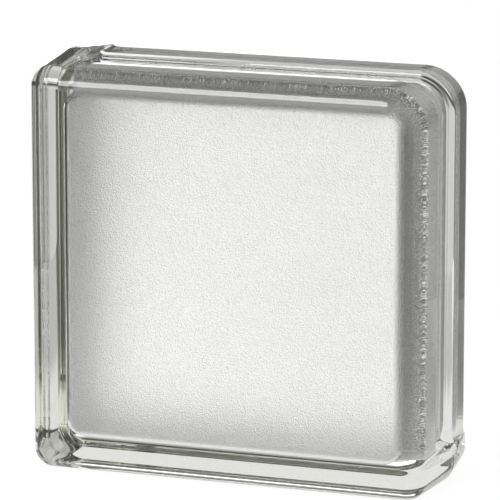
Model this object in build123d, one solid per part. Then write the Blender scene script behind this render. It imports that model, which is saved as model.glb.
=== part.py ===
"""Hollow glass block with two finished sides, for the free corner of a glass wall.

The block is two pressed glass trays, fused rim to rim into one sealed piece. Its left side and its base
are finished: thick, smooth walls that stay in view. Its top and right side have a mortar channel
between two lips. X is across the face, Y is through the wall with the front face at -Y, and Z is up.
The origin is on the base, under the middle of the block.
"""

import os

from build123d import *

# Overall sizes, in millimetres.
block_width = 190.0  # from the finished left side to the lips of the right side
block_height = 190.0  # from the finished base to the lips of the top
block_depth = 80.0  # from the front face to the back face

# Glass thicknesses, measured where a wall meets its face.
face_thickness = 8.5
finished_wall = 16.0
channel_wall = 6.0

# Rounding of the outside.
wall_edge_radius = 9.0  # each face rolls over into the finished walls, and so do their corners
lip_edge_radius = 10.0  # each face rolls over into the lips
lip_corner_radius = 20.0  # the corner between the two channel sides, over the lips

# Mortar channel along the top and the right side.
channel_depth = 5.0
lip_width = 28.0  # along Y, with the rounded edge
lip_inner_radius = 2.5  # where the lip turns down into the channel
channel_root_radius = 3.0  # where the channel floor meets the lip and the finished walls

# Each finished wall ends in a low ridge at the seam, because the pressed tray widens to its rim.
ridge_rise = 4.4

# Sealed cavity.
cavity_draft = 3.5  # degrees, so that the plunger leaves the tray
cavity_corner_radius = 8.0  # between two cavity walls, at the face panel
cavity_face_radius = 6.0  # between a cavity wall and the face panel

# Fire-polished rims leave a fine groove all round the fused seam, inside and outside.
seam_chamfer = 0.6

half_depth = block_depth / 2
tray_depth = half_depth - face_thickness
overall_width = block_width + ridge_rise * (1 - seam_chamfer / half_depth)
left_side = -overall_width / 2
inner_side = left_side + finished_wall
lip_side = left_side + block_width
channel_side = lip_side - channel_depth
channel_top = block_height - channel_depth
channel_corner_radius = lip_corner_radius - channel_depth
lip_back = lip_width - half_depth

face_plane = Plane.XZ.offset(half_depth)
panel_plane = Plane.XZ.offset(tray_depth)
seam_plane = Plane.XZ


def near(edges, **place):
    """The edges whose middle lies at the given X, Y or Z."""
    found = []
    for edge in edges:
        middle = edge.center()
        if all(abs(getattr(middle, axis) - value) < seam_chamfer / 10 for axis, value in place.items()):
            found.append(edge)
    return found


def run_of_edges(tray, right, top, radius, y):
    """The edges along the top, round the corner and down the right side, in one plane of Y."""
    level = near(tray.edges(), Y=y)
    arcs = [e for e in level if e.geom_type == GeomType.CIRCLE]
    corner = [e for e in arcs if abs(e.radius - radius) < seam_chamfer / 10]
    return near(level, Z=top) + corner + near(level, X=right)


def finished_walls():
    """Both finished walls, an L whose ends slope up to the ridge, with every outer edge round."""
    corners = [
        (left_side, 0),
        (lip_side + ridge_rise, 0),
        (lip_side + ridge_rise, finished_wall),
        (inner_side, finished_wall),
        (inner_side, block_height + ridge_rise),
        (left_side, block_height + ridge_rise),
    ]
    walls = extrude(seam_plane * make_face(Polyline(*corners, close=True)), half_depth)
    top_slope = Plane((0, -half_depth, block_height), z_dir=(0, -ridge_rise, half_depth))
    side_slope = Plane((lip_side, -half_depth, 0), z_dir=(half_depth, -ridge_rise, 0))
    walls = split(split(walls, top_slope, keep=Keep.BOTTOM), side_slope, keep=Keep.BOTTOM)
    rim = walls.edges().group_by(Axis.Y)[-1]
    inside = [e for e in walls.edges() if e.center().X > inner_side - wall_edge_radius / 2]
    inside = [e for e in inside if e.center().Z > finished_wall - wall_edge_radius / 2]
    return fillet([e for e in walls.edges() if e not in rim and e not in inside], wall_edge_radius)


def slab(right, top, corner_radius, depth):
    """A slab behind the face, whose left and lower sides are buried in the finished walls."""
    buried = (wall_edge_radius + finished_wall) / 2
    left = left_side + buried
    outline = make_face(Polyline((left, buried), (right, buried), (right, top), (left, top), close=True))
    corner = outline.vertices().sort_by(Axis.X)[-2:].sort_by(Axis.Y)[-1]
    return extrude(face_plane * fillet(corner, corner_radius), -depth)


def lips():
    """The face of the tray out to its lips, round at the face and tighter at the channel."""
    plate = slab(lip_side, block_height, lip_corner_radius, lip_width)
    face_run = run_of_edges(plate, lip_side, block_height, lip_corner_radius, -half_depth)
    plate = fillet(face_run, lip_edge_radius)
    back_run = run_of_edges(plate, lip_side, block_height, lip_corner_radius, lip_back)
    return fillet(back_run, lip_inner_radius)


def cavity():
    """Half of the sealed cavity, which widens from the face panel to the seam."""
    right = channel_side - channel_wall
    top = channel_top - channel_wall
    outline = RectangleRounded(right - inner_side, top - finished_wall, cavity_corner_radius)
    outline = panel_plane * Pos((inner_side + right) / 2, (finished_wall + top) / 2) * outline
    hollow = extrude(outline, -tray_depth, taper=-cavity_draft)
    return fillet(hollow.edges().group_by(Axis.Y)[0], cavity_face_radius)


def pressed_tray():
    """The front half of the block, with its rim at the seam."""
    core = slab(channel_side, channel_top, channel_corner_radius, half_depth)
    tray = lips() + core + finished_walls()
    floor_middle = lip_back / 2
    roots = run_of_edges(tray, channel_side, channel_top, channel_corner_radius, lip_back)
    roots += near(tray.edges(), X=inner_side, Y=floor_middle, Z=channel_top)
    roots += near(tray.edges(), X=channel_side, Y=floor_middle, Z=finished_wall)
    tray = fillet(roots, channel_root_radius) - cavity()
    rim = tray.faces().sort_by(Axis.Y)[-1]
    return chamfer(rim.edges(), seam_chamfer)


front_tray = pressed_tray()
glass_block = front_tray + mirror(front_tray, about=seam_plane)

os.makedirs("parts", exist_ok=True)
export_step(glass_block, "parts/glass_block.step")
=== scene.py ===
"""A hollow glass block with two finished sides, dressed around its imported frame."""

import bpy
import numpy as np
from mathutils import Matrix, Vector


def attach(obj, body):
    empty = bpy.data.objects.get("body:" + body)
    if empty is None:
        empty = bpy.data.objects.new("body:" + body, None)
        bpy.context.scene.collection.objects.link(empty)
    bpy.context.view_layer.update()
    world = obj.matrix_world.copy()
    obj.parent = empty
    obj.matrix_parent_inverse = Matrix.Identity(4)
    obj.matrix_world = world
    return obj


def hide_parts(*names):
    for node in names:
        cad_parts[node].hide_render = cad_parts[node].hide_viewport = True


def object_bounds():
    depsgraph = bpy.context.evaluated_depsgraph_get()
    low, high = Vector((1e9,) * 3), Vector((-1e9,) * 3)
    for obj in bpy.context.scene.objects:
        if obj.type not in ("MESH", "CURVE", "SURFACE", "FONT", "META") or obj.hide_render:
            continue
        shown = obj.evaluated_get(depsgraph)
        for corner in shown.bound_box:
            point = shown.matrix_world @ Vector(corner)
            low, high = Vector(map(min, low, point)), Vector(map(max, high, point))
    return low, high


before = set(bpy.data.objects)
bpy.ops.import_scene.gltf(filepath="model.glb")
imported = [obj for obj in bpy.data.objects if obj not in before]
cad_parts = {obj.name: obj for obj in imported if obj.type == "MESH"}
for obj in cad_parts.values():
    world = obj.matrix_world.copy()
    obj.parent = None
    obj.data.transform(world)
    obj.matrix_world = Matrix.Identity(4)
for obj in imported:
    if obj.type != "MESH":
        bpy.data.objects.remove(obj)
cad_low, cad_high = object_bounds()

# Outside of the block
# Two trays of clear soda-lime glass, pressed in a mould and fused rim to rim while hot. The left side
# and the base are thick finished walls. The top and the right side carry the mortar channel.
width, depth = 0.190, 0.080
half_depth = depth / 2
left_side, lip_side = cad_low.x, cad_low.x + width
finished_wall = 0.016
inner_side = left_side + finished_wall
wall_corner, wall_edge = 0.0094, 0.009
lip_corner, lip_edge = 0.020, 0.010
wall_end_round = 0.003
ridge_rise = cad_high.z - width
channel_depth = 0.005
lip_width, lip_inner, channel_root, shoulder_lean = 0.028, 0.0025, 0.0024, 0.0005
seam_cut = 0.0006


def steps(start, stop, count):
    """Even steps from start up to stop, which is left to the stretch that follows."""
    return np.linspace(start, stop, count, endpoint=False)


def outline(x, z, out_x, out_z, slide_x=0.0, slide_z=0.0, channel=0.0):
    """Places along an outline, one a column: the point, its outward direction, the share of the ridge
    that it follows in X and Z, and the share of the channel's depth that it takes."""
    return np.stack(np.broadcast_arrays(x, z, out_x, out_z, slide_x, slide_z, channel)).astype(float)


def corner(x, z, radius, start, count, **shares):
    """A quarter circle of an outline about (x, z), from the start angle in degrees."""
    turn = np.radians(start + steps(0, 90, count))
    out_x, out_z = np.cos(turn), np.sin(turn)
    return outline(x + radius * out_x, z + radius * out_z, out_x, out_z, **shares)


# A finished wall turns down into the channel through two quarter circles, one after the other.
bend_points = 13
bend = np.radians(np.linspace(0, 90, bend_points))
end_place = wall_end_round * np.concatenate([np.sin(bend[:-1]) - 1, 1 - np.cos(bend)])
end_share = np.concatenate([1 - np.cos(bend[:-1]), 1 + np.sin(bend)]) / 2
into_channel, out_of_channel = slice(0, -1), slice(None, 0, -1)

# Middles of the round corners, then the number of points on each kind of stretch.
wall_left, wall_right, wall_top = left_side + wall_corner, lip_side - wall_corner, width - wall_corner
lip_right, lip_top = lip_side - lip_corner, width - lip_corner
long_run, short_run, wall_turn, lip_turn = 24, 6, 32, 64

block_outline = np.concatenate(
    [
        outline(steps(wall_left, wall_right, long_run), 0, 0, -1, slide_x=steps(0, 1, long_run)),
        corner(wall_right, wall_corner, wall_corner, -90, wall_turn, slide_x=1),
        outline(lip_side, steps(wall_corner, finished_wall - wall_end_round, short_run), 1, 0, slide_x=1),
        outline(lip_side, finished_wall + end_place, 1, 0, 1 - end_share, 0, end_share)[:, into_channel],
        outline(lip_side, steps(finished_wall + wall_end_round, lip_top, long_run), 1, 0, channel=1),
        corner(lip_right, lip_top, lip_corner, 0, lip_turn, channel=1),
        outline(steps(lip_right, inner_side + wall_end_round, long_run), width, 0, 1, channel=1),
        outline(inner_side + end_place, width, 0, 1, 0, 1 - end_share, end_share)[:, out_of_channel],
        outline(steps(inner_side - wall_end_round, wall_left, short_run), width, 0, 1, slide_z=1),
        corner(wall_left, wall_top, wall_corner, 90, wall_turn, slide_z=1),
        outline(left_side, steps(wall_top, wall_corner, long_run), -1, 0, slide_z=steps(1, 0, long_run)),
        corner(wall_left, wall_corner, wall_corner, 180, wall_turn),
    ],
    axis=1,
)


def section_of_tray(turn_rows=10, floor_rows=8):
    """Half of the section through a channel side, from the lip to the seam, as place in Y and depth below
    the lip: the quarter circle into the channel, the quarter circle of its root, its floor and the seam."""
    turn = np.radians(np.linspace(0, 90, turn_rows))
    lip_end = lip_width - half_depth
    shoulder, root = lip_end - shoulder_lean / 2, lip_end + shoulder_lean / 2
    y = [
        shoulder - lip_inner * (1 - np.sin(turn)),
        root + channel_root * (1 - np.cos(turn)),
        np.linspace(root + channel_root, -seam_cut, floor_rows)[1:],
        [0.0],
    ]
    sink = [
        lip_inner * (1 - np.cos(turn)),
        channel_depth - channel_root * (1 - np.sin(turn)),
        np.full(floor_rows, channel_depth),
    ]
    return np.concatenate(y), np.concatenate(sink)


def outer_skin(front_rows=6, edge_rows=32):
    """The outer surface as rows of points from the middle of the front face to the middle of the back face.
    A row is the outline moved in by a depth, which follows a quarter circle over the edge and then the
    section of the side; the ends of the finished walls rise evenly towards the seam. The fourth number
    of a point is its share of grain, which is none out here."""
    x, z, out_x, out_z, slide_x, slide_z, channel = block_outline
    edge = wall_edge + (lip_edge - wall_edge) * channel
    turn = np.radians(np.linspace(0, 90, edge_rows))[:, None]
    side_y, side_sink = section_of_tray()
    y = np.concatenate([edge * (1 - np.cos(turn)) - half_depth, np.repeat(side_y[:, None], len(x), 1)])
    sink = np.concatenate([edge * (1 - np.sin(turn)), side_sink[:, None] * channel])
    sink[-1] += seam_cut
    lift = ridge_rise * (1 + y / half_depth)
    no_grain = np.zeros_like(y)
    tray = np.stack([x - out_x * sink + slide_x * lift, y, z - out_z * sink + slide_z * lift, no_grain], -1)
    middle = np.array([left_side + width / 2, -half_depth, width / 2, 0])
    return mirrored_rows(np.concatenate([flat_rows(tray[0], middle, front_rows), tray]))


def flat_rows(ring, middle, count, last_even_share=0.96, last_share=0.997):
    """Rows of a flat panel inside a ring, as shares of the way from its middle to the ring. The last row
    lies close to the ring, so that the bend of the edge doesn't reach the panel's normals."""
    share = np.append(np.linspace(0, last_even_share, count), last_share)
    return middle + (ring - middle) * share[:, None, None]


def mirrored_rows(rows):
    """Both trays: the rows of the front one, then the same rows backwards behind the seam."""
    return np.concatenate([rows, (rows * [1, -1, 1, 1])[-2::-1]])


# Inside of the block
# The plunger that presses a tray leaves a fine sandy grain on all its inner surfaces, so light is
# scattered there. The cavity is sealed, widens towards the seam, and is round in all its corners.
face_thickness, channel_wall = 0.0085, 0.006
cavity_corner, cavity_edge, cavity_draft = 0.008, 0.0042, np.radians(3.5)
edge_polish_share = 0.9
cavity_right = lip_side - channel_depth - channel_wall
cavity_top = width - channel_depth - channel_wall

turn_left, turn_right = inner_side + cavity_corner, cavity_right - cavity_corner
turn_low, turn_high = finished_wall + cavity_corner, cavity_top - cavity_corner
cavity_turn = 24

cavity_outline = np.concatenate(
    [
        outline(steps(turn_left, turn_right, long_run), finished_wall, 0, -1),
        corner(turn_right, turn_low, cavity_corner, -90, cavity_turn),
        outline(cavity_right, steps(turn_low, turn_high, long_run), 1, 0),
        corner(turn_right, turn_high, cavity_corner, 0, cavity_turn),
        outline(steps(turn_right, turn_left, long_run), cavity_top, 0, 1),
        corner(turn_left, turn_high, cavity_corner, 90, cavity_turn),
        outline(inner_side, steps(turn_high, turn_low, long_run), -1, 0),
        corner(turn_left, turn_low, cavity_corner, 180, cavity_turn),
    ],
    axis=1,
)


def inner_skin(panel_rows=6, edge_rows=20, wall_rows=8):
    """The wall of the cavity, as rows from the middle of the front panel to the middle of the back panel.
    A row is the cavity's outline moved in along a round edge that is tangent to panel and wall, then out
    along the wall, which leans by the draft. Grain is full, but fades by half a sine wave over the round
    edge beside a finished wall, and there is none in the fused seam."""
    x, z, out_x, out_z = cavity_outline[:4]
    panel = face_thickness - half_depth
    turn = np.linspace(0, np.pi / 2 - cavity_draft, edge_rows)
    edge_in = cavity_edge * (1 - np.sin(cavity_draft)) / np.cos(cavity_draft)
    edge_y = panel + cavity_edge * (1 - np.cos(turn))
    wall_y = np.linspace(edge_y[-1], -seam_cut, wall_rows + 1)[1:]
    y = np.concatenate([edge_y, wall_y, [0.0]])
    edge_sink = edge_in - cavity_edge * np.sin(turn)
    wall_sink = (panel - wall_y) * np.tan(cavity_draft)
    seam_sink = panel * np.tan(cavity_draft) - seam_cut
    sink = np.concatenate([edge_sink, wall_sink, [seam_sink]])
    smooth = np.concatenate([np.sin(np.pi * np.linspace(0, 1, edge_rows)), np.zeros(wall_rows + 1)])
    finished = np.clip(np.clip(-out_x, 0, 1) + np.clip(-out_z, 0, 1), 0, 1)
    grain = 1 - edge_polish_share * smooth[:, None] * finished
    grain[-1] = 0
    y, sink = (np.repeat(row[:, None], len(x), 1) for row in (y, sink))
    tray = np.stack([x - out_x * sink, y, z - out_z * sink, grain], -1)
    middle = np.array([(inner_side + cavity_right) / 2, panel, (finished_wall + cavity_top) / 2, 1])
    return mirrored_rows(np.concatenate([flat_rows(tray[0], middle, panel_rows), tray]))


def closed_grid(rows, inside_out=False):
    """Points and faces of rows that close on themselves sideways: the first and the last row each shrink to
    one point. Faces point away from the middle, or towards it inside a cavity."""
    count, around = rows.shape[:2]
    points = np.concatenate([rows[0].mean(0)[None], rows[1:-1].reshape(-1, 4), rows[-1].mean(0)[None]])
    here = np.arange(around)
    after = np.roll(here, -1)
    ring = 1 + around * np.arange(count - 3)[:, None]
    quads = np.stack([ring + here, ring + around + here, ring + around + after, ring + after], -1)
    last = len(points) - 1
    first_fan = np.stack([np.zeros_like(here), 1 + here, 1 + after], -1)
    last_ring = last - around
    last_fan = np.stack([last_ring + here, np.full_like(here, last), last_ring + after], -1)
    faces = [quads.reshape(-1, 4), np.concatenate([first_fan, last_fan])]
    if inside_out:
        faces = [f[:, ::-1] for f in faces]
    return points, faces


outer_points, outer_faces = closed_grid(outer_skin())
inner_points, inner_faces = closed_grid(inner_skin(), inside_out=True)
glass_points = np.concatenate([outer_points, inner_points])
face_groups = outer_faces + [f + len(outer_points) for f in inner_faces]
glass_faces = sum((f.tolist() for f in face_groups), [])

glass_mesh = bpy.data.meshes.new("glass_block_body")
glass_mesh.from_pydata(glass_points[:, :3].tolist(), [], glass_faces)
glass_mesh.attributes.new("grain", "FLOAT", "POINT").data.foreach_set("value", glass_points[:, 3])
glass_mesh.polygons.foreach_set("use_smooth", np.ones(len(glass_faces), dtype=bool))
glass_mesh.update()
glass_body = bpy.data.objects.new("glass_block_body", glass_mesh)
bpy.context.scene.collection.objects.link(glass_body)

# Glass
# Clear soda-lime glass, faintly green where it is thick. The grain inside is a fine relief that scatters
# the light. Its play of light and dark is helped by painted shade: the Base Color dims in specks of the
# grain, and on the walls of the cavity dark diffuse specks are mixed in.
grain_scale, grain_detail = 2200.0, 1.0
relief_depth, grain_roughness = 0.0004, 0.3
# Painted shade of the grain: how far the Base Color dims in its specks, then the colour and share of the
# dark specks on the cavity walls.
speckle_edge, speckle_soft, painted_shade_dimming = 0.5, 0.2, 0.2
painted_shade_speck_color, painted_shade_speck_share = (0.1, 0.1, 0.1, 1), 0.6
glass_index = 1.52
tint_color, tint_density = (0.94, 0.95, 0.88, 1), 10.0


class Wire:
    """One output of a shader node. Sums, differences and products of wires and numbers add Math nodes."""

    def __init__(self, tree, output=None):
        self.tree, self.output = tree, output

    def node(self, kind, settings=None, inputs=None, output=0):
        """Adds any node: its settings come first, then the values or links of its sockets."""
        made = self.tree.nodes.new(kind)
        for name, value in (settings or {}).items():
            setattr(made, name, value)
        for name, value in (inputs or {}).items():
            if isinstance(value, Wire):
                self.tree.links.new(value.output, made.inputs[name])
            else:
                made.inputs[name].default_value = value
        return Wire(self.tree, made.outputs[output] if len(made.outputs) else None)

    def math(self, operation, first, second=0.0):
        """Adds a Math node on one or two wires or numbers."""
        return self.node("ShaderNodeMath", {"operation": operation}, {0: first, 1: second})

    def __add__(self, other):
        return self.math("ADD", self, other)

    def __sub__(self, other):
        return self.math("SUBTRACT", self, other)

    def __rsub__(self, other):
        return self.math("SUBTRACT", other, self)

    def __mul__(self, other):
        return self.math("MULTIPLY", self, other)

    __radd__, __rmul__ = __add__, __mul__


def new_material(name):
    """An empty node material and the wire that starts its nodes."""
    material = bpy.data.materials.new(name)
    material.use_nodes = True
    material.node_tree.nodes.clear()
    return material, Wire(material.node_tree)


def axes_of(vector):
    """The X, Y and Z of a vector, as three wires."""
    return [vector.node("ShaderNodeSeparateXYZ", inputs={"Vector": vector}, output=axis) for axis in "XYZ"]


def smooth_step(value, edge, soft):
    """A smooth step from 0 to 1 across an edge, as wide as soft on each side."""
    ends = {"Value": value, "From Min": edge - soft, "From Max": edge + soft}
    return value.node("ShaderNodeMapRange", {"interpolation_type": "SMOOTHSTEP"}, ends)


pressed_glass, start = new_material("pressed_glass")
place = start.node("ShaderNodeTexCoord", output="Object")
noise = {"Vector": place, "Scale": grain_scale, "Detail": grain_detail}
grain = start.node("ShaderNodeTexNoise", inputs=noise, output="Fac")
share = start.node("ShaderNodeAttribute", {"attribute_name": "grain"}, output="Fac")
from_seam = start.math("ABSOLUTE", axes_of(place)[1])
on_wall = 1 - smooth_step(from_seam, half_depth - face_thickness - cavity_edge / 2, cavity_edge / 2)
painted_shade_specks_mask = smooth_step(grain, speckle_edge, speckle_soft)
bump = {"Strength": 1.0, "Distance": relief_depth, "Height": grain * share}
clear = start.node(
    "ShaderNodeBsdfPrincipled",
    inputs={
        # Painted shade: the Base Color dims in the grain's specks.
        "Base Color": 1.0 - painted_shade_dimming * share * painted_shade_specks_mask,
        "Roughness": grain_roughness * share,
        "IOR": glass_index,
        "Transmission Weight": 1.0,
        "Normal": start.node("ShaderNodeBump", inputs=bump),
    },
)
# Painted shade: dark diffuse specks on the cavity walls stand in for the dark glints of light through the
# grain.
painted_shade_specks = start.node("ShaderNodeBsdfDiffuse", inputs={"Color": painted_shade_speck_color})
mix = {"Fac": painted_shade_speck_share * share * on_wall * painted_shade_specks_mask, 1: clear, 2: painted_shade_specks}
surface = start.node("ShaderNodeMixShader", inputs=mix)
tint = start.node("ShaderNodeVolumeAbsorption", inputs={"Color": tint_color, "Density": tint_density})
start.node("ShaderNodeOutputMaterial", inputs={"Surface": surface, "Volume": tint})
glass_mesh.materials.append(pressed_glass)
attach(glass_body, "root")
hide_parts("glass_block")

# Floor
# A round white table top that the block stands on. The lens sees it white, with a faint shadow of the
# block. Through the glass it glows with painted light: pale near the block, and further out bright or dim
# by the direction, like pools of studio light and dark gaps.
table_reach, table_sides = 0.4, 64
paper_color, glow_share, lens_white = (0.9, 0.9, 0.9, 1), 0.88, 1.05
# Painted light: through the glass the floor glows pale near the block, and in bright and dim sectors
# further out.
near_painted_light, near_reach, near_soft = 0.8, 0.16, 0.03
dark_tone, front_tone = 0.04, 0.3

around = np.radians(steps(0, 360, table_sides))
rim = table_reach * np.stack([np.cos(around), np.sin(around), np.zeros(table_sides)], -1)
floor_mesh = bpy.data.meshes.new("floor")
floor_mesh.from_pydata(rim.tolist(), [], [range(table_sides)])
floor = bpy.data.objects.new("floor", floor_mesh)
bpy.context.scene.collection.objects.link(floor)


def rays_of(start):
    """Which rays look at a surface: those of the lens, then these and all that come through or off glass,
    each as 1 for such a ray and 0 for others."""
    kinds = ("Camera", "Glossy", "Transmission")
    lens, off, through = (start.node("ShaderNodeLightPath", output=f"Is {kind} Ray") for kind in kinds)
    return lens, start.math("MINIMUM", lens + off + through, 1.0)


def sector(right, back, middle, half, soft):
    """A soft-edged sector round the block: 1 within half its width of its middle, which is in degrees round
    from the back towards the right."""
    middle, half, soft = np.radians([middle, half, soft])
    beside = right * np.cos(middle) - back * np.sin(middle)
    ahead = right * np.sin(middle) + back * np.cos(middle)
    off = right.math("ABSOLUTE", right.math("ARCTAN2", beside, ahead))
    return 1 - smooth_step(off, half, soft)


# Each far sector of the floor's painted light has its tone, then its middle, half its width and its soft
# edge in degrees.
painted_light_sectors = {
    "behind on the left": (0.95, -50.0, 20.0, 6.0),
    "behind": (0.45, 0.0, 30.0, 6.0),
    "right": (1.0, 105.0, 15.0, 6.0),
    "front": (front_tone, 195.0, 45.0, 8.0),
}

table_with_painted_light, start = new_material("table_with_painted_light")
lens, shown = rays_of(start)
place = start.node("ShaderNodeTexCoord", output="Object")
from_middle = start.node("ShaderNodeVectorMath", {"operation": "LENGTH"}, {0: place}, output="Value")
right, back = axes_of(place)[:2]
# The glow's tone is painted light for rays through or off the glass; the lens sees it plain white.
far_painted_light = sum((floor_painted_light * sector(right, back, *where) for floor_painted_light, *where in painted_light_sectors.values()), dark_tone)
floor_painted_light = near_painted_light + smooth_step(from_middle, near_reach, near_soft) * (far_painted_light - near_painted_light)
glow_tone = floor_painted_light + lens * (lens_white - floor_painted_light)
glow = start.node("ShaderNodeEmission", inputs={"Color": glow_tone, "Strength": 1.0})
paper = start.node("ShaderNodeBsdfDiffuse", inputs={"Color": paper_color})
sheet = start.node("ShaderNodeMixShader", inputs={"Fac": glow_share * shown, 1: paper, 2: glow})
start.node("ShaderNodeOutputMaterial", inputs={"Surface": sheet})
floor_mesh.materials.append(table_with_painted_light)

# Light
# A studio for glass: a bright band of backdrop behind the block, soft cards round it and one overhead, and
# dark gaps between them that draw the dark lines along the edges. Only rays that come through or off the
# glass see the cards. All else is lit by an even white room and one soft box.
room_tone = 0.8
overhead_tone, overhead_edge, overhead_soft = 0.95, 0.9, 0.03
box_width, box_height, box_power = 0.6, 0.55, 9.0
box_place, box_aim = Vector((-0.35, -1.0, 0.83)), Vector((0, 0, 0.15))

# Each card has its strength, its middle and half its width round from the back towards the right, its
# lower and upper edge in height, and its soft edge, all in degrees.
cards = {
    "backdrop": (3.8, -22.5, 22.5, -5.0, 6.0, 1.5),
    "above the backdrop": (0.37, 0.0, 45.0, 6.0, 12.0, 1.5),
    "higher behind": (0.5, 12.0, 22.0, 12.0, 25.0, 3.0),
    "highest behind": (0.36, 0.0, 45.0, 25.0, 42.0, 4.0),
    "highest behind, bright part": (0.9, -10.0, 10.0, 25.0, 42.0, 4.0),
    "low behind, left": (0.6, -38.0, 15.0, -15.5, -5.0, 2.0),
    "low behind, middle": (0.4, -6.0, 14.0, -15.5, -5.0, 2.0),
    "low behind, right": (0.45, 51.0, 29.0, -15.5, -5.0, 2.0),
    "low behind, wide": (0.15, 30.0, 50.0, -15.5, -5.0, 2.0),
    "right": (1.15, 105.0, 25.0, -15.0, 45.0, 5.0),
    "front, right": (0.65, 160.0, 30.0, -5.0, 64.0, 5.0),
    "front, left": (1.4, 210.0, 20.0, -5.0, 50.0, 5.0),
    "front, below the floor's edge": (front_tone, 199.0, 30.0, -25.0, 0.0, 4.0),
    "left, high": (0.55, 255.0, 30.0, 30.0, 64.0, 6.0),
}

world = bpy.data.worlds.new("studio")
world.use_nodes = True
world.node_tree.nodes.clear()
bpy.context.scene.world = world
start = Wire(world.node_tree)
lens, shown = rays_of(start)
right, back, up = axes_of(start.node("ShaderNodeTexCoord", output="Generated"))
height = start.math("ARCSINE", up)


def card(strength, middle, half, low, high, soft):
    """A soft-edged card of light in a sector, between its lower and upper edge in degrees of height."""
    across = sector(right, back, middle, half, soft)
    low, high, soft = np.radians([low, high, soft])
    return strength * across * smooth_step(height, low, soft) * (1 - smooth_step(height, high, soft))


overhead = overhead_tone * smooth_step(up, overhead_edge, overhead_soft)
studio = sum((card(*values) for values in cards.values()), overhead + dark_tone)
strength = lens + shown * (1 - lens) * studio + room_tone * (1 - shown)
room = start.node("ShaderNodeBackground", inputs={"Color": (1, 1, 1, 1), "Strength": strength})
start.node("ShaderNodeOutputWorld", inputs={"Surface": room})

box_light = bpy.data.lights.new("soft_box", "AREA")
box_light.shape, box_light.energy = "RECTANGLE", box_power
box_light.size, box_light.size_y = box_width, box_height
soft_box = bpy.data.objects.new("soft_box", box_light)
soft_box.location = box_place
soft_box.rotation_euler = (box_aim - box_place).to_track_quat("-Z", "Y").to_euler()
soft_box.visible_camera = False
bpy.context.scene.collection.objects.link(soft_box)

# Camera
# A long lens, above the block and to its right. It is shifted down, and level enough that upright edges
# stay nearly upright.
camera_place = Vector((0.5714, -1.6464, 0.4955))
yaw, pitch = np.radians(19.2), np.radians(11.786)
sensor_width, focal_length, lens_shift = 36.0, 277.16, -0.12
lens_data = bpy.data.cameras.new("camera")
lens_data.sensor_width, lens_data.lens, lens_data.shift_y = sensor_width, focal_length, lens_shift
camera = bpy.data.objects.new("camera", lens_data)
look_down = Matrix.Rotation(np.pi / 2 - pitch, 4, "X")
camera.matrix_world = Matrix.Translation(camera_place) @ Matrix.Rotation(yaw, 4, "Z") @ look_down
bpy.context.scene.collection.objects.link(camera)
bpy.context.scene.camera = camera
bpy.context.scene.view_settings.view_transform = "Standard"
